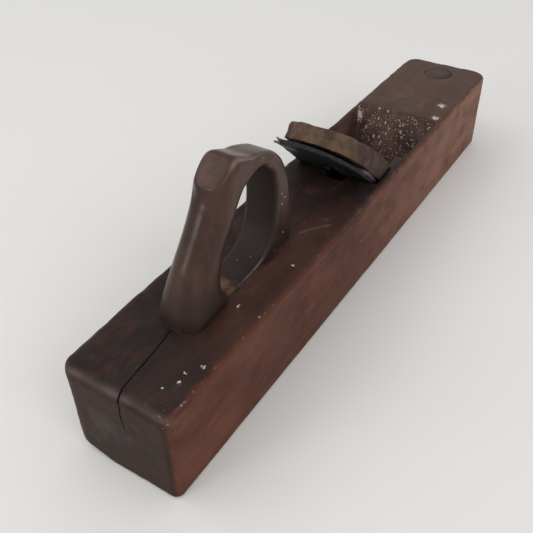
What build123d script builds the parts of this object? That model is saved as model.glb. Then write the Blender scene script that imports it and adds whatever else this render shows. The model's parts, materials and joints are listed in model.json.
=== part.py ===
from build123d import *
import os
from math import cos, radians, sin, tan

# A wooden try plane: a closed-handled beech stock with a double iron held by a wedge.
# Frame: millimetres, +X towards the toe, +Y to the user's left, +Z up.
# The origin lies on the sole, under the middle of the stock.

# ---- driving dimensions: stock ----
LENGTH = 504.0
WIDTH = 82.5
HEIGHT = 73.0
END_ARRIS = 3.0
SOLE_ARRIS = 1.0

# ---- driving dimensions: bed, mouth and throat ----
PITCH = 45.0
BED_TOP_X = 12.0
SLOT_WIDTH = 69.0
ABUTMENT_GAP = 60.0
MOUTH_LENGTH = 7.0
THROAT_FRONT_X = 131.0
ABUTMENT_FRONT_X = 59.0
CHEEK_FLARE_WIDTH = 73.0
THROAT_LOW_WIDTH = 62.0
THROAT_LOW_Z = 9.0
THROAT_LOW_LENGTH = 1.0
SCREW_GROOVE_WIDTH = 20.5
SCREW_GROOVE_DEPTH = 6.0
SCREW_GROOVE_START = 18.0
OVERCUT = 2.0

# ---- driving dimensions: irons ----
IRON_WIDTH = 63.5
IRON_SHIFT = 1.75
IRON_THICK = 3.0
IRON_EDGE = -2.5
IRON_LEFT_TOP = 150.0
IRON_CROWN = (14.0, 155.5)
IRON_SHOULDER = (-10.0, 150.0)
IRON_ROUND = (-22.0, 137.0)
IRON_ROUND_END = (-28.0, 119.0)
IRON_RIGHT_TOP = 105.0
BEVEL_ANGLE = 25.0
SCREW_SLOT_WIDTH = 10.0
SCREW_SLOT_LOW = 40.0
SCREW_SLOT_HIGH = 112.0
KEYHOLE_DIAMETER = 20.0
CAP_THICK = 2.6
CAP_TOP = 118.0
CAP_LIP = -1.0
CAP_LIP_THICK = 0.4
CAP_BEND_START = 22.0
CAP_HUMP = (9.0, 6.0)
CAP_HOLLOW = (10.5, 2.2)
CAP_CORNER = 9.0

# ---- driving dimensions: cap screw and its nut ----
SCREW_AT = 55.0
SHANK_DIAMETER = 8.0
THREAD_CLEARANCE = 0.05
SCREW_LENGTH = 11.5
SCREW_HEAD_DIAMETER = 18.0
SCREW_HEAD_THICK = 4.4
SCREW_HEAD_GAP = 0.1
DRIVER_SLOT_WIDTH = 1.8
DRIVER_SLOT_DEPTH = 1.6
SPIGOT_DIAMETER = 11.0
BOSS_DIAMETER = 16.0
BOSS_THICK = 5.0

# ---- driving dimensions: wedge ----
WEDGE_WIDTH = 65.5
WEDGE_SHIFT = -0.75
WEDGE_ANGLE = 7.0
WEDGE_AT_TOP = 17.0
WEDGE_RELIEF_START = 107.0
WEDGE_HEAD_THICK = 15.5
WEDGE_TIP = 33.0
WEDGE_TIP_THICK = 4.0
WEDGE_TIP_SLOPE = 8.0
WEDGE_HEAD = 153.0
WEDGE_LEFT_TOP = 146.0
WEDGE_CROWN = (9.0, 152.5)
WEDGE_SHOULDER = (-14.0, 148.0)
WEDGE_ROUND = (-24.5, 136.0)
WEDGE_ROUND_END = (-30.0, 113.0)
WEDGE_RIGHT_TOP = 92.0
WEDGE_RIM_ROUND = 1.0
WEDGE_RIM_LOW = 100.0
WEDGE_CLEARANCE = 0.15
FORK_WIDTH = 40.0
FORK_TOP = 78.0

# ---- driving dimensions: handle and strike button ----
HANDLE_FOOT_X = -195.0
HANDLE_LENGTH = 121.0
HANDLE_THICK = 27.0
TENON_DEPTH = 20.0
FOOT_LENGTH = 43.0
FOOT_WIDTH = 36.0
SWELL_HEIGHT = 34.0
SWELL_TOP_U = 31.0
SWELL_TOP_LENGTH = 26.0
SWELL_TOP_WIDTH = 24.0
OPENING_ROUND = 4.0
BUTTON_X = 225.0
BUTTON_DIAMETER = 25.4
BUTTON_DEPTH = 30.0
BUTTON_STAND = 1.2
BUTTON_CHAMFER = 0.8

# ---- derived geometry of the bed ----
SIN_P = sin(radians(PITCH))
COS_P = cos(radians(PITCH))
BED_LENGTH = HEIGHT / SIN_P
MOUTH_X = BED_TOP_X + BED_LENGTH * COS_P
STACK = IRON_THICK + CAP_THICK
ABUTMENT_ANGLE = PITCH + WEDGE_ANGLE

# The bed plane: local x runs across the plane, local y up the bed, and z out of the bed.
bed = Plane(origin=(MOUTH_X, 0, 0), x_dir=(0, 1, 0), z_dir=(SIN_P, 0, COS_P))


def bed_point(along, out):
    """Side view (X, Z) of a point so far up the bed from the sole and so far out of it."""
    return (MOUTH_X - along * COS_P + out * SIN_P, along * SIN_P + out * COS_P)


def bed_x(z):
    """X of the bed at height z."""
    return MOUTH_X - z / tan(radians(PITCH))


def wedge_out(along):
    """How far out of the bed the wedge's front face lies, so far up the bed."""
    return STACK + WEDGE_AT_TOP + (along - BED_LENGTH) * tan(radians(WEDGE_ANGLE))


def abutment_x(z):
    """X of the abutment faces at height z: they lie on the wedge's front face."""
    x_ref, z_ref = bed_point(BED_LENGTH, wedge_out(BED_LENGTH) + WEDGE_CLEARANCE)
    return x_ref - (z - z_ref) / tan(radians(ABUTMENT_ANGLE))


BREAST_LOW_X = MOUTH_X + MOUTH_LENGTH
BREAST_SLOPE = (THROAT_FRONT_X - BREAST_LOW_X) / HEIGHT
ABUTMENT_SLOPE = -1 / tan(radians(ABUTMENT_ANGLE))
LIP_Z = (abutment_x(0) - BREAST_LOW_X) / (BREAST_SLOPE - ABUTMENT_SLOPE)


def breast_x(z):
    """X of the throat's front wall at height z."""
    return BREAST_LOW_X + z * BREAST_SLOPE


# ---- stock: one block, cut for the irons and wedge, the handle and the strike button ----
with BuildPart() as stock:
    Box(LENGTH, WIDTH, HEIGHT, align=(Align.CENTER, Align.CENTER, Align.MIN))
    fillet(stock.edges().filter_by(Axis.Z), END_ARRIS)
    top_edges = stock.faces().sort_by(Axis.Z)[-1].edges()
    fillet(top_edges, END_ARRIS)
    sole_edges = stock.faces().sort_by(Axis.Z)[0].edges()
    chamfer(sole_edges, SOLE_ARRIS)
    # Tapered grooves for irons and wedge, from the bed to the abutments, down to the mouth.
    top = HEIGHT + OVERCUT
    with BuildSketch(Plane.XZ):
        with BuildLine():
            Polyline(
                (bed_x(-OVERCUT), -OVERCUT),
                (breast_x(-OVERCUT), -OVERCUT),
                (breast_x(LIP_Z), LIP_Z),
                (abutment_x(top), top),
                (bed_x(top), top),
                close=True,
            )
        make_face()
    extrude(amount=SLOT_WIDTH / 2, both=True, mode=Mode.SUBTRACT)
    # The way between the two abutments, from the bed to the breast.
    with BuildSketch(Plane.XZ):
        with BuildLine():
            Polyline(
                (bed_x(-OVERCUT), -OVERCUT),
                (breast_x(-OVERCUT), -OVERCUT),
                (breast_x(top), top),
                (bed_x(top), top),
                close=True,
            )
        make_face()
    extrude(amount=ABUTMENT_GAP / 2, both=True, mode=Mode.SUBTRACT)
    # The cheeks flare outwards ahead of the abutments.
    low_x = breast_x(THROAT_LOW_Z) - THROAT_LOW_LENGTH / 2
    with BuildSketch(Plane.XY.offset(THROAT_LOW_Z)):
        with Locations((low_x, 0)):
            Rectangle(THROAT_LOW_LENGTH, THROAT_LOW_WIDTH)
    with BuildSketch(Plane.XY.offset(HEIGHT)):
        with Locations(((ABUTMENT_FRONT_X + THROAT_FRONT_X) / 2, 0)):
            Rectangle(THROAT_FRONT_X - ABUTMENT_FRONT_X, CHEEK_FLARE_WIDTH)
    loft(ruled=True, mode=Mode.SUBTRACT)
    # A groove down the bed clears the head of the cap screw.
    with BuildSketch(bed):
        with Locations((0, SCREW_GROOVE_START)):
            Rectangle(SCREW_GROOVE_WIDTH, BED_LENGTH, align=(Align.CENTER, Align.MIN))
    extrude(amount=-SCREW_GROOVE_DEPTH, mode=Mode.SUBTRACT)
    # Mortise that takes the lower rail of the handle.
    with BuildSketch(Plane.XY.offset(HEIGHT)):
        with Locations((HANDLE_FOOT_X, 0)):
            Rectangle(HANDLE_LENGTH, HANDLE_THICK, align=(Align.MIN, Align.CENTER))
    extrude(amount=-TENON_DEPTH, mode=Mode.SUBTRACT)
    # Blind hole for the strike button.
    with BuildSketch(Plane.XY.offset(HEIGHT)):
        with Locations((BUTTON_X, 0)):
            Circle(BUTTON_DIAMETER / 2)
    extrude(amount=-BUTTON_DEPTH, mode=Mode.SUBTRACT)
stock.part.label = "stock"

# ---- handle: a closed handle sawn from a board, its lower rail let into the stock ----
handle_side = Plane(origin=(HANDLE_FOOT_X, 0, HEIGHT), x_dir=(1, 0, 0), z_dir=(0, -1, 0))
with BuildPart() as handle:
    with BuildSketch(handle_side):
        with BuildLine():
            Spline(
                (0, 0),
                (3, 11),
                (13, 32),
                (28, 54),
                (36, 67),
                (41, 79),
                (48, 89),
                (59, 91.5),
                (73, 86),
                (88, 82),
                (101, 75),
                (111, 65.5),
                (118.5, 50),
                (HANDLE_LENGTH, 28),
                (HANDLE_LENGTH, 0),
                tangents=((0.1, 1), (0, -1)),
            )
            Line((HANDLE_LENGTH, 0), (0, 0))
        make_face()
        with BuildLine():
            Spline(
                (42, 4),
                (40.5, 16),
                (46.5, 32),
                (61, 54),
                (73, 65.5),
                (87, 68.5),
                (96.5, 61),
                (99, 48),
                (97.5, 22),
                (90, 5),
                (66, 1),
                periodic=True,
            )
        make_face(mode=Mode.SUBTRACT)
    extrude(amount=HANDLE_THICK / 2, both=True)
    side_faces = handle.faces().filter_by(Axis.Y)
    rim_edges = side_faces.edges().filter_by(GeomType.LINE, reverse=True)
    fillet(rim_edges, OPENING_ROUND)
    # The grip swells to an oval foot where it meets the stock.
    with BuildSketch(Plane.XY.offset(HEIGHT)):
        with Locations((HANDLE_FOOT_X + FOOT_LENGTH / 2, 0)):
            Ellipse(FOOT_LENGTH / 2, FOOT_WIDTH / 2)
    with BuildSketch(Plane.XY.offset(HEIGHT + SWELL_HEIGHT)):
        with Locations((HANDLE_FOOT_X + SWELL_TOP_U, 0)):
            Ellipse(SWELL_TOP_LENGTH / 2, SWELL_TOP_WIDTH / 2)
    loft()
    # The lower rail fills the mortise.
    with BuildSketch(handle_side):
        Rectangle(HANDLE_LENGTH, TENON_DEPTH, align=(Align.MIN, Align.MAX))
    extrude(amount=HANDLE_THICK / 2, both=True)
handle.part.label = "handle"

# ---- strike button: a hard end-grain plug let into the toe ----
with BuildPart() as strike_button:
    with BuildSketch(Plane.XY.offset(HEIGHT - BUTTON_DEPTH)):
        with Locations((BUTTON_X, 0)):
            Circle(BUTTON_DIAMETER / 2)
    extrude(amount=BUTTON_DEPTH + BUTTON_STAND)
    chamfer(strike_button.edges().sort_by(Axis.Z)[-1], BUTTON_CHAMFER)
strike_button.part.label = "strike_button"

# ---- cutting iron: flat plate, slotted for the cap screw, bevelled on its back ----
IRON_LEFT = IRON_SHIFT + IRON_WIDTH / 2
IRON_RIGHT = IRON_SHIFT - IRON_WIDTH / 2
with BuildPart() as cutting_iron:
    with BuildSketch(bed):
        with BuildLine():
            Polyline(
                (IRON_RIGHT, IRON_RIGHT_TOP),
                (IRON_RIGHT, IRON_EDGE),
                (IRON_LEFT, IRON_EDGE),
                (IRON_LEFT, IRON_LEFT_TOP),
            )
            ThreePointArc((IRON_LEFT, IRON_LEFT_TOP), IRON_CROWN, IRON_SHOULDER)
            ThreePointArc(IRON_SHOULDER, IRON_ROUND, IRON_ROUND_END)
            Line(IRON_ROUND_END, (IRON_RIGHT, IRON_RIGHT_TOP))
        make_face()
        slot_length = SCREW_SLOT_HIGH - SCREW_SLOT_LOW + SCREW_SLOT_WIDTH
        with Locations((0, (SCREW_SLOT_LOW + SCREW_SLOT_HIGH) / 2)):
            SlotOverall(slot_length, SCREW_SLOT_WIDTH, rotation=90, mode=Mode.SUBTRACT)
        with Locations((0, SCREW_SLOT_HIGH)):
            Circle(KEYHOLE_DIAMETER / 2, mode=Mode.SUBTRACT)
    extrude(amount=IRON_THICK)
    bevel_length = IRON_THICK / tan(radians(BEVEL_ANGLE))
    with BuildSketch(Plane.XZ):
        with BuildLine():
            Polyline(
                bed_point(IRON_EDGE, IRON_THICK),
                bed_point(IRON_EDGE + bevel_length, 0),
                bed_point(IRON_EDGE - OVERCUT, 0),
                bed_point(IRON_EDGE - OVERCUT, IRON_THICK),
                close=True,
            )
        make_face()
    extrude(amount=WIDTH, both=True, mode=Mode.SUBTRACT)
cutting_iron.part.label = "cutting_iron"

# ---- cap iron: plate bent at its lower end so that only its lip meets the cutting iron ----
with BuildPart() as cap_iron:
    with BuildSketch(bed.offset(IRON_THICK)):
        with Locations((IRON_SHIFT, CAP_LIP)):
            RectangleRounded(
                IRON_WIDTH, CAP_TOP - CAP_LIP, CAP_CORNER, align=(Align.CENTER, Align.MIN)
            )
            Rectangle(IRON_WIDTH, CAP_BEND_START, align=(Align.CENTER, Align.MIN))
    extrude(amount=3 * CAP_THICK)
    with BuildSketch(Plane.XZ):
        with BuildLine():
            Line(bed_point(CAP_LIP, IRON_THICK), bed_point(CAP_LIP, IRON_THICK + CAP_LIP_THICK))
            ThreePointArc(
                bed_point(CAP_LIP, IRON_THICK + CAP_LIP_THICK),
                bed_point(CAP_HUMP[0], IRON_THICK + CAP_HUMP[1]),
                bed_point(CAP_BEND_START, STACK),
            )
            Polyline(
                bed_point(CAP_BEND_START, STACK),
                bed_point(CAP_TOP + OVERCUT, STACK),
                bed_point(CAP_TOP + OVERCUT, IRON_THICK),
                bed_point(CAP_BEND_START, IRON_THICK),
            )
            ThreePointArc(
                bed_point(CAP_BEND_START, IRON_THICK),
                bed_point(CAP_HOLLOW[0], IRON_THICK + CAP_HOLLOW[1]),
                bed_point(CAP_LIP, IRON_THICK),
            )
        make_face()
    extrude(amount=WIDTH, both=True, mode=Mode.INTERSECT)
    with BuildSketch(bed):
        with Locations((0, SCREW_AT)):
            Circle(SPIGOT_DIAMETER / 2)
    extrude(amount=3 * CAP_THICK, mode=Mode.SUBTRACT)
cap_iron.part.label = "cap_iron"

# ---- cap iron nut: a threaded boss riveted through the cap iron ----
with BuildPart() as cap_iron_nut:
    with BuildSketch(bed.offset(IRON_THICK)):
        with Locations((0, SCREW_AT)):
            Circle(SPIGOT_DIAMETER / 2)
    extrude(amount=CAP_THICK)
    with BuildSketch(bed.offset(STACK)):
        with Locations((0, SCREW_AT)):
            Circle(BOSS_DIAMETER / 2)
    extrude(amount=BOSS_THICK)
    with BuildSketch(bed):
        with Locations((0, SCREW_AT)):
            Circle(SHANK_DIAMETER / 2 + THREAD_CLEARANCE)
    extrude(amount=STACK + 2 * BOSS_THICK, mode=Mode.SUBTRACT)
cap_iron_nut.part.label = "cap_iron_nut"

# ---- cap screw: its slotted head bears on the back of the cutting iron ----
with BuildPart() as cap_screw:
    with BuildSketch(bed.offset(-SCREW_HEAD_GAP)):
        with Locations((0, SCREW_AT)):
            Circle(SCREW_HEAD_DIAMETER / 2)
    extrude(amount=-SCREW_HEAD_THICK)
    with BuildSketch(bed.offset(-SCREW_HEAD_GAP)):
        with Locations((0, SCREW_AT)):
            Circle(SHANK_DIAMETER / 2)
    extrude(amount=SCREW_LENGTH)
    with BuildSketch(bed.offset(-SCREW_HEAD_GAP - SCREW_HEAD_THICK)):
        with Locations((0, SCREW_AT)):
            Rectangle(SCREW_HEAD_DIAMETER, DRIVER_SLOT_WIDTH)
    extrude(amount=DRIVER_SLOT_DEPTH, mode=Mode.SUBTRACT)
cap_screw.part.label = "cap_screw"

# ---- wedge: forked below to clear the nut, its head rounded over by the hammer ----
WEDGE_LEFT = WEDGE_SHIFT + WEDGE_WIDTH / 2
WEDGE_RIGHT = WEDGE_SHIFT - WEDGE_WIDTH / 2
tip_top = WEDGE_TIP + WEDGE_TIP_SLOPE
bed_out = Axis((0, 0, 0), (SIN_P, 0, COS_P))
with BuildPart() as wedge:
    with BuildSketch(bed.offset(STACK)) as wedge_plan:
        with BuildLine():
            Polyline(
                (WEDGE_RIGHT, WEDGE_RIGHT_TOP),
                (WEDGE_RIGHT, WEDGE_TIP),
                (WEDGE_LEFT, WEDGE_TIP),
                (WEDGE_LEFT, WEDGE_LEFT_TOP),
            )
            ThreePointArc((WEDGE_LEFT, WEDGE_LEFT_TOP), WEDGE_CROWN, WEDGE_SHOULDER)
            ThreePointArc(WEDGE_SHOULDER, WEDGE_ROUND, WEDGE_ROUND_END)
            Line(WEDGE_ROUND_END, (WEDGE_RIGHT, WEDGE_RIGHT_TOP))
        make_face()
        with Locations((0, WEDGE_TIP)):
            Rectangle(
                FORK_WIDTH,
                FORK_TOP - FORK_WIDTH / 2 - WEDGE_TIP,
                align=(Align.CENTER, Align.MIN),
                mode=Mode.SUBTRACT,
            )
        with Locations((0, FORK_TOP - FORK_WIDTH / 2)):
            Circle(FORK_WIDTH / 2, mode=Mode.SUBTRACT)
    extrude(amount=2 * WEDGE_AT_TOP)
    with BuildSketch(Plane.XZ):
        with BuildLine():
            Polyline(
                bed_point(WEDGE_TIP, STACK),
                bed_point(WEDGE_TIP, STACK + WEDGE_TIP_THICK),
                bed_point(tip_top, wedge_out(tip_top)),
                bed_point(WEDGE_RELIEF_START, wedge_out(WEDGE_RELIEF_START)),
                bed_point(WEDGE_HEAD, STACK + WEDGE_HEAD_THICK),
                bed_point(WEDGE_HEAD, STACK),
                close=True,
            )
        make_face()
    extrude(amount=WIDTH, both=True, mode=Mode.INTERSECT)
    front_edges = wedge.faces().sort_by(bed_out)[-1].edges()
    fillet(front_edges.filter_by(lambda edge: edge.center().Z > WEDGE_RIM_LOW), WEDGE_RIM_ROUND)
wedge.part.label = "wedge"

# ---- export: one file per piece ----
os.makedirs("parts", exist_ok=True)
export_step(stock.part, "parts/stock.step")
export_step(handle.part, "parts/handle.step")
export_step(strike_button.part, "parts/strike_button.step")
export_step(cutting_iron.part, "parts/cutting_iron.step")
export_step(cap_iron.part, "parts/cap_iron.step")
export_step(cap_iron_nut.part, "parts/cap_iron_nut.step")
export_step(cap_screw.part, "parts/cap_screw.step")
export_step(wedge.part, "parts/wedge.step")
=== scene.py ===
import functools
import json
import math
from types import SimpleNamespace

import bmesh
import bpy
import numpy as np
from mathutils import Matrix, Vector


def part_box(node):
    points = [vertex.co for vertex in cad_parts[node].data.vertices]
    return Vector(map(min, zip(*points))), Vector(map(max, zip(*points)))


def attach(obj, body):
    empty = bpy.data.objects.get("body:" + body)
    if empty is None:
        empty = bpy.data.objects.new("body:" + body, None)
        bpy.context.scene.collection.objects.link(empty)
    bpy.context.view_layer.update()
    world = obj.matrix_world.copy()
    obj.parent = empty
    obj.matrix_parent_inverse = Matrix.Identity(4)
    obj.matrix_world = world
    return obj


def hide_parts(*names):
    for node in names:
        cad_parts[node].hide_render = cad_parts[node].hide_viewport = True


# A long wooden bench plane with a closed handle. Worn, dented and paint-splashed meshes stand in
# for the CAD solids that show. The frame has x towards the toe, y to the plane's left and z up,
# with its origin at the middle of the sole.

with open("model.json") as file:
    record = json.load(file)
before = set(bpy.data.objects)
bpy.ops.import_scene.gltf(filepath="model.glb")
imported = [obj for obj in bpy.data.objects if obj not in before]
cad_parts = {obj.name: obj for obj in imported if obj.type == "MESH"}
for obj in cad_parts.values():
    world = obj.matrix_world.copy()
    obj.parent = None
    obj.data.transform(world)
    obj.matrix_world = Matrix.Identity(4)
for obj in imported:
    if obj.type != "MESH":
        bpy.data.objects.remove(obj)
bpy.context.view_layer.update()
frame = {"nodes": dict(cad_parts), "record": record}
MM = 0.001

STOCK_LOW, STOCK_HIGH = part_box("stock")
HANDLE_LOW, HANDLE_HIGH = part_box("handle")
_, IRON_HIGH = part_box("cutting_iron")
WEDGE_LOW, WEDGE_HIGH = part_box("wedge")
BUTTON_LOW, BUTTON_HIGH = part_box("strike_button")
HALF_LENGTH, HALF_WIDTH, TOP = STOCK_HIGH
HANDLE_BACK = HANDLE_LOW[0]

# The bed: its direction up the slope, the direction out of it, where it meets the sole, and about
# how far forward it meets the top. THROAT_FRONT is the front edge of the throat's opening.
JOINTS = {joint["name"]: joint for joint in frame["record"]["behaviour"]["joints"]}
BED_AXIS = np.array(JOINTS["wedge_slide"]["axis"])
OUT_AXIS = np.array([BED_AXIS[2], 0.0, -BED_AXIS[0]])
IRON_POINTS = np.array([v.co for v in frame["nodes"]["cutting_iron"].data.vertices])
BED_ORIGIN = np.array([(IRON_POINTS @ OUT_AXIS).min() / OUT_AXIS[0], 0.0, 0.0])
BED_TOP_X = IRON_HIGH[0] - TOP
THROAT_FRONT = 131 * MM


# ---------------------------------------------------------------- mesh helpers

def link(name, mesh):
    """Adds a mesh to the scene as an object of that name."""
    piece = bpy.data.objects.new(name, mesh)
    bpy.context.collection.objects.link(piece)
    return piece


def evaluated(piece):
    """Applies the piece's modifiers to its mesh."""
    bpy.context.view_layer.update()
    graph = bpy.context.evaluated_depsgraph_get()
    mesh = bpy.data.meshes.new_from_object(piece.evaluated_get(graph))
    piece.modifiers.clear()
    piece.data = mesh
    return piece


def remesh(piece, voxel, smooth=0):
    """An even, dense, closed skin, with its creases eased by a few smoothing steps."""
    mod = piece.modifiers.new("skin", "REMESH")
    mod.mode = "VOXEL"
    mod.voxel_size = voxel
    if smooth:
        ease = piece.modifiers.new("ease", "SMOOTH")
        ease.factor = 0.5
        ease.iterations = smooth
    evaluated(piece)
    piece.data.shade_smooth()
    return piece


def dense_copy(node, name, voxel, smooth):
    """A remeshed copy of a CAD node."""
    return remesh(link(name, frame["nodes"][node].data.copy()), voxel, smooth)


def points(piece):
    """The places of the piece's points, one row each."""
    co = np.empty(len(piece.data.vertices) * 3, np.float32)
    piece.data.vertices.foreach_get("co", co)
    return co.reshape(-1, 3).astype(float)


def normals(piece):
    """The directions out of the piece's skin at its points."""
    no = np.empty(len(piece.data.vertices) * 3, np.float32)
    piece.data.vertex_normals.foreach_get("vector", no)
    return no.reshape(-1, 3).astype(float)


def move_to(piece, co):
    """Gives the piece's points new places."""
    piece.data.vertices.foreach_set("co", co.astype(np.float32).ravel())
    piece.data.update()


def paint(piece, name, values):
    """A number per point, which the piece's material reads by name."""
    layer = piece.data.attributes.new(name, "FLOAT", "POINT")
    layer.data.foreach_set("value", np.clip(values, 0, 1).astype(np.float32))


# How many cells the random fields repeat after, and where in them the origin lies.
FIELD_CELLS = 32
FIELD_SHIFT = 400.0


def field(co, size, seed):
    """A smooth random field from -1 to 1, with features of about that size."""
    grid = np.random.default_rng(seed).uniform(-1, 1, (FIELD_CELLS,) * 3)
    at = co / size + FIELD_SHIFT
    cell = np.floor(at).astype(int)
    t = at - cell
    t = t * t * (3 - 2 * t)
    total = 0.0
    for dx in (0, 1):
        for dy in (0, 1):
            for dz in (0, 1):
                weight = (
                    (t[:, 0] if dx else 1 - t[:, 0])
                    * (t[:, 1] if dy else 1 - t[:, 1])
                    * (t[:, 2] if dz else 1 - t[:, 2])
                )
                i = (cell + (dx, dy, dz)) % FIELD_CELLS
                total = total + weight * grid[i[:, 0], i[:, 1], i[:, 2]]
    return total


def step(value, low, high):
    """0 below the low value, 1 above the high one and a smooth rise between them."""
    t = np.clip((value - low) / (high - low), 0, 1)
    return t * t * (3 - 2 * t)


def ridge(value, at, width):
    """1 where the value is just there, falling smoothly away on both sides."""
    return np.exp(-((value - at) / width) ** 2)


def spot(co, centre, radius):
    """1 at a point, falling to 0 at that distance."""
    return np.clip(1 - np.linalg.norm(co - np.array(centre), axis=1) / radius, 0, 1)


def loop_through(knots, steps=12):
    """A smooth closed line through a few points."""
    p = np.array(knots, float)
    line = []
    for i in range(len(p)):
        a, b, c, d = (p[(i + k) % len(p)] for k in (-1, 0, 1, 2))
        for s in range(steps):
            t = s / steps
            bend = 2 * a - 5 * b + 4 * c - d
            twist = 3 * b - a - 3 * c + d
            line.append(0.5 * (2 * b + (c - a) * t + bend * t**2 + twist * t**3))
    return np.array(line)


def distance_to(uv, line, closed=True):
    """Distance from each point to a line of short segments."""
    a = line if closed else line[:-1]
    b = np.roll(line, -1, axis=0) if closed else line[1:]
    best = np.full(len(uv), np.inf)
    for p, q in zip(a, b):
        run = q - p
        t = np.clip(((uv - p) @ run) / (run @ run), 0, 1)
        best = np.minimum(best, np.linalg.norm(uv - p - t[:, None] * run, axis=1))
    return best


# ---------------------------------------------------------------- material helpers

def srgb(r, g, b):
    """A colour given as 8-bit display values."""
    lin = [(c / 255 / 12.92 if c / 255 <= 0.04045 else ((c / 255 + 0.055) / 1.055) ** 2.4) for c in (r, g, b)]
    return (*lin, 1.0)


class Finish:
    """A node material, built from object coordinates."""

    def __init__(self, name):
        self.material = bpy.data.materials.new(name)
        self.material.use_nodes = True
        self.tree = self.material.node_tree
        self.tree.nodes.clear()
        self.shader = self.add("ShaderNodeBsdfPrincipled")
        out = self.add("ShaderNodeOutputMaterial")
        self.join(self.shader.outputs[0], out.inputs[0])
        self.where = self.add("ShaderNodeTexCoord").outputs["Object"]

    def add(self, kind, **settings):
        node = self.tree.nodes.new(kind)
        for key, value in settings.items():
            setattr(node, key, value)
        return node

    def join(self, source, target):
        self.tree.links.new(source, target)

    def put(self, value, socket):
        """Joins a socket's value to another socket, or sets a plain one."""
        if isinstance(value, bpy.types.NodeSocket):
            self.join(value, socket)
        else:
            socket.default_value = value

    def stretched(self, stretch):
        mapping = self.add("ShaderNodeMapping")
        mapping.inputs["Scale"].default_value = stretch
        self.join(self.where, mapping.inputs["Vector"])
        return mapping.outputs[0]

    def noise(self, scale, stretch=(1, 1, 1), detail=4.0, rough=0.55, twist=0.0):
        node = self.add("ShaderNodeTexNoise")
        self.join(self.stretched(stretch), node.inputs["Vector"])
        node.inputs["Scale"].default_value = scale
        node.inputs["Detail"].default_value = detail
        node.inputs["Roughness"].default_value = rough
        node.inputs["Distortion"].default_value = twist
        return node.outputs["Fac"]

    def cells(self, scale, stretch=(1, 1, 1)):
        """Scattered points: the distance to the nearest one, and a random colour for each."""
        node = self.add("ShaderNodeTexVoronoi", feature="F1")
        self.join(self.stretched(stretch), node.inputs["Vector"])
        node.inputs["Scale"].default_value = scale
        return node.outputs["Distance"], node.outputs["Color"]

    def attribute(self, name):
        return self.add("ShaderNodeAttribute", attribute_name=name).outputs["Fac"]

    def math(self, operation, a, b=0.0):
        node = self.add("ShaderNodeMath", operation=operation)
        self.put(a, node.inputs[0])
        self.put(b, node.inputs[1])
        return node.outputs[0]

    def most(self, *values):
        """The largest of several values."""
        return functools.reduce(functools.partial(self.math, "MAXIMUM"), values)

    def scaled(self, value, by):
        return self.math("MULTIPLY", value, by)

    def ramp(self, value, low, high, to_low=0.0, to_high=1.0):
        node = self.add("ShaderNodeMapRange", interpolation_type="SMOOTHSTEP")
        self.put(value, node.inputs["Value"])
        for key, number in (("From Min", low), ("From Max", high), ("To Min", to_low), ("To Max", to_high)):
            node.inputs[key].default_value = number
        return node.outputs[0]

    def ragged(self, name, texture, spread, low, high, to_high=1.0):
        """A painted attribute's ramp, with its edge broken up by a texture."""
        broken = self.math("ADD", self.attribute(name), self.ramp(texture, 0.3, 0.7, -spread, spread))
        return self.ramp(broken, low, high, 0.0, to_high)

    def mix(self, factor, a, b):
        node = self.add("ShaderNodeMix", data_type="RGBA")
        self.put(factor, node.inputs[0])
        self.put(a, node.inputs[6])
        self.put(b, node.inputs[7])
        return node.outputs[2]

    def two_tone(self, texture, dark, light, low=0.35, high=0.65):
        """Patches of two display colours."""
        return self.mix(self.ramp(texture, low, high), srgb(*dark), srgb(*light))

    def bump(self, height, depth, before=None):
        node = self.add("ShaderNodeBump")
        node.inputs["Strength"].default_value = 1.0
        node.inputs["Distance"].default_value = depth
        self.join(height, node.inputs["Height"])
        if before is not None:
            self.join(before, node.inputs["Normal"])
        return node.outputs[0]

    def finish(self, colour, rough, normal, specular, metallic=0.0):
        self.put(colour, self.shader.inputs["Base Color"])
        self.put(rough, self.shader.inputs["Roughness"])
        self.join(normal, self.shader.inputs["Normal"])
        self.shader.inputs["Specular IOR Level"].default_value = specular
        self.put(metallic, self.shader.inputs["Metallic"])
        return self.material


def specks(f, scale, size, where, share, stretch=(1, 1, 1)):
    """Small paint spots of uneven size on a share of the cells, in the areas where the mask is set."""
    distance, colour = f.cells(scale, stretch)
    split = f.add("ShaderNodeSeparateColor")
    f.join(colour, split.inputs[0])
    chosen = f.ramp(split.outputs[0], 1 - share, 1 - share + 0.02)
    limit = f.scaled(split.outputs[1], size)
    dot = f.ramp(f.math("SUBTRACT", limit, distance), 0.0, 0.06)
    return f.math("MULTIPLY", f.math("MULTIPLY", dot, chosen), where)


# ---------------------------------------------------------------- materials

def stock_textures(f):
    """The textures that all of the stock's wood shares. Its grain runs along x."""
    return SimpleNamespace(
        grain=f.noise(90, (0.05, 1, 1), 6, 0.6, 0.1),
        fibre=f.noise(420, (0.03, 1, 1), 3, 0.5),
        flecks=f.cells(700, (0.14, 1, 1))[0],
        blotch=f.noise(16, (0.6, 1, 1), 5, 0.6),
        mottle=f.noise(55, (0.7, 1, 1), 5, 0.65),
        fine=f.noise(700, (1, 1, 1), 3, 0.6),
    )


def side_wood(f, wood):
    """Red-brown sides with dark flecks, paler towards the toe."""
    side = f.two_tone(wood.blotch, (76, 40, 28), (97, 56, 41))
    toe = f.two_tone(wood.blotch, (106, 70, 56), (126, 87, 71))
    side = f.mix(f.ramp(f.attribute("toe"), 0.15, 1.0), side, toe)
    side = f.mix(f.ramp(wood.grain, 0.42, 0.62, 0.0, 0.16), side, srgb(70, 40, 31))
    side = f.mix(f.ramp(wood.mottle, 0.5, 0.75, 0.0, 0.4), side, srgb(64, 37, 30))
    side = f.mix(f.ramp(wood.flecks, 0.0, 0.26, 0.45, 0.0), side, srgb(54, 31, 25))
    return f.mix(f.ramp(wood.fibre, 0.5, 0.75, 0.0, 0.3), side, srgb(112, 74, 58))


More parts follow.
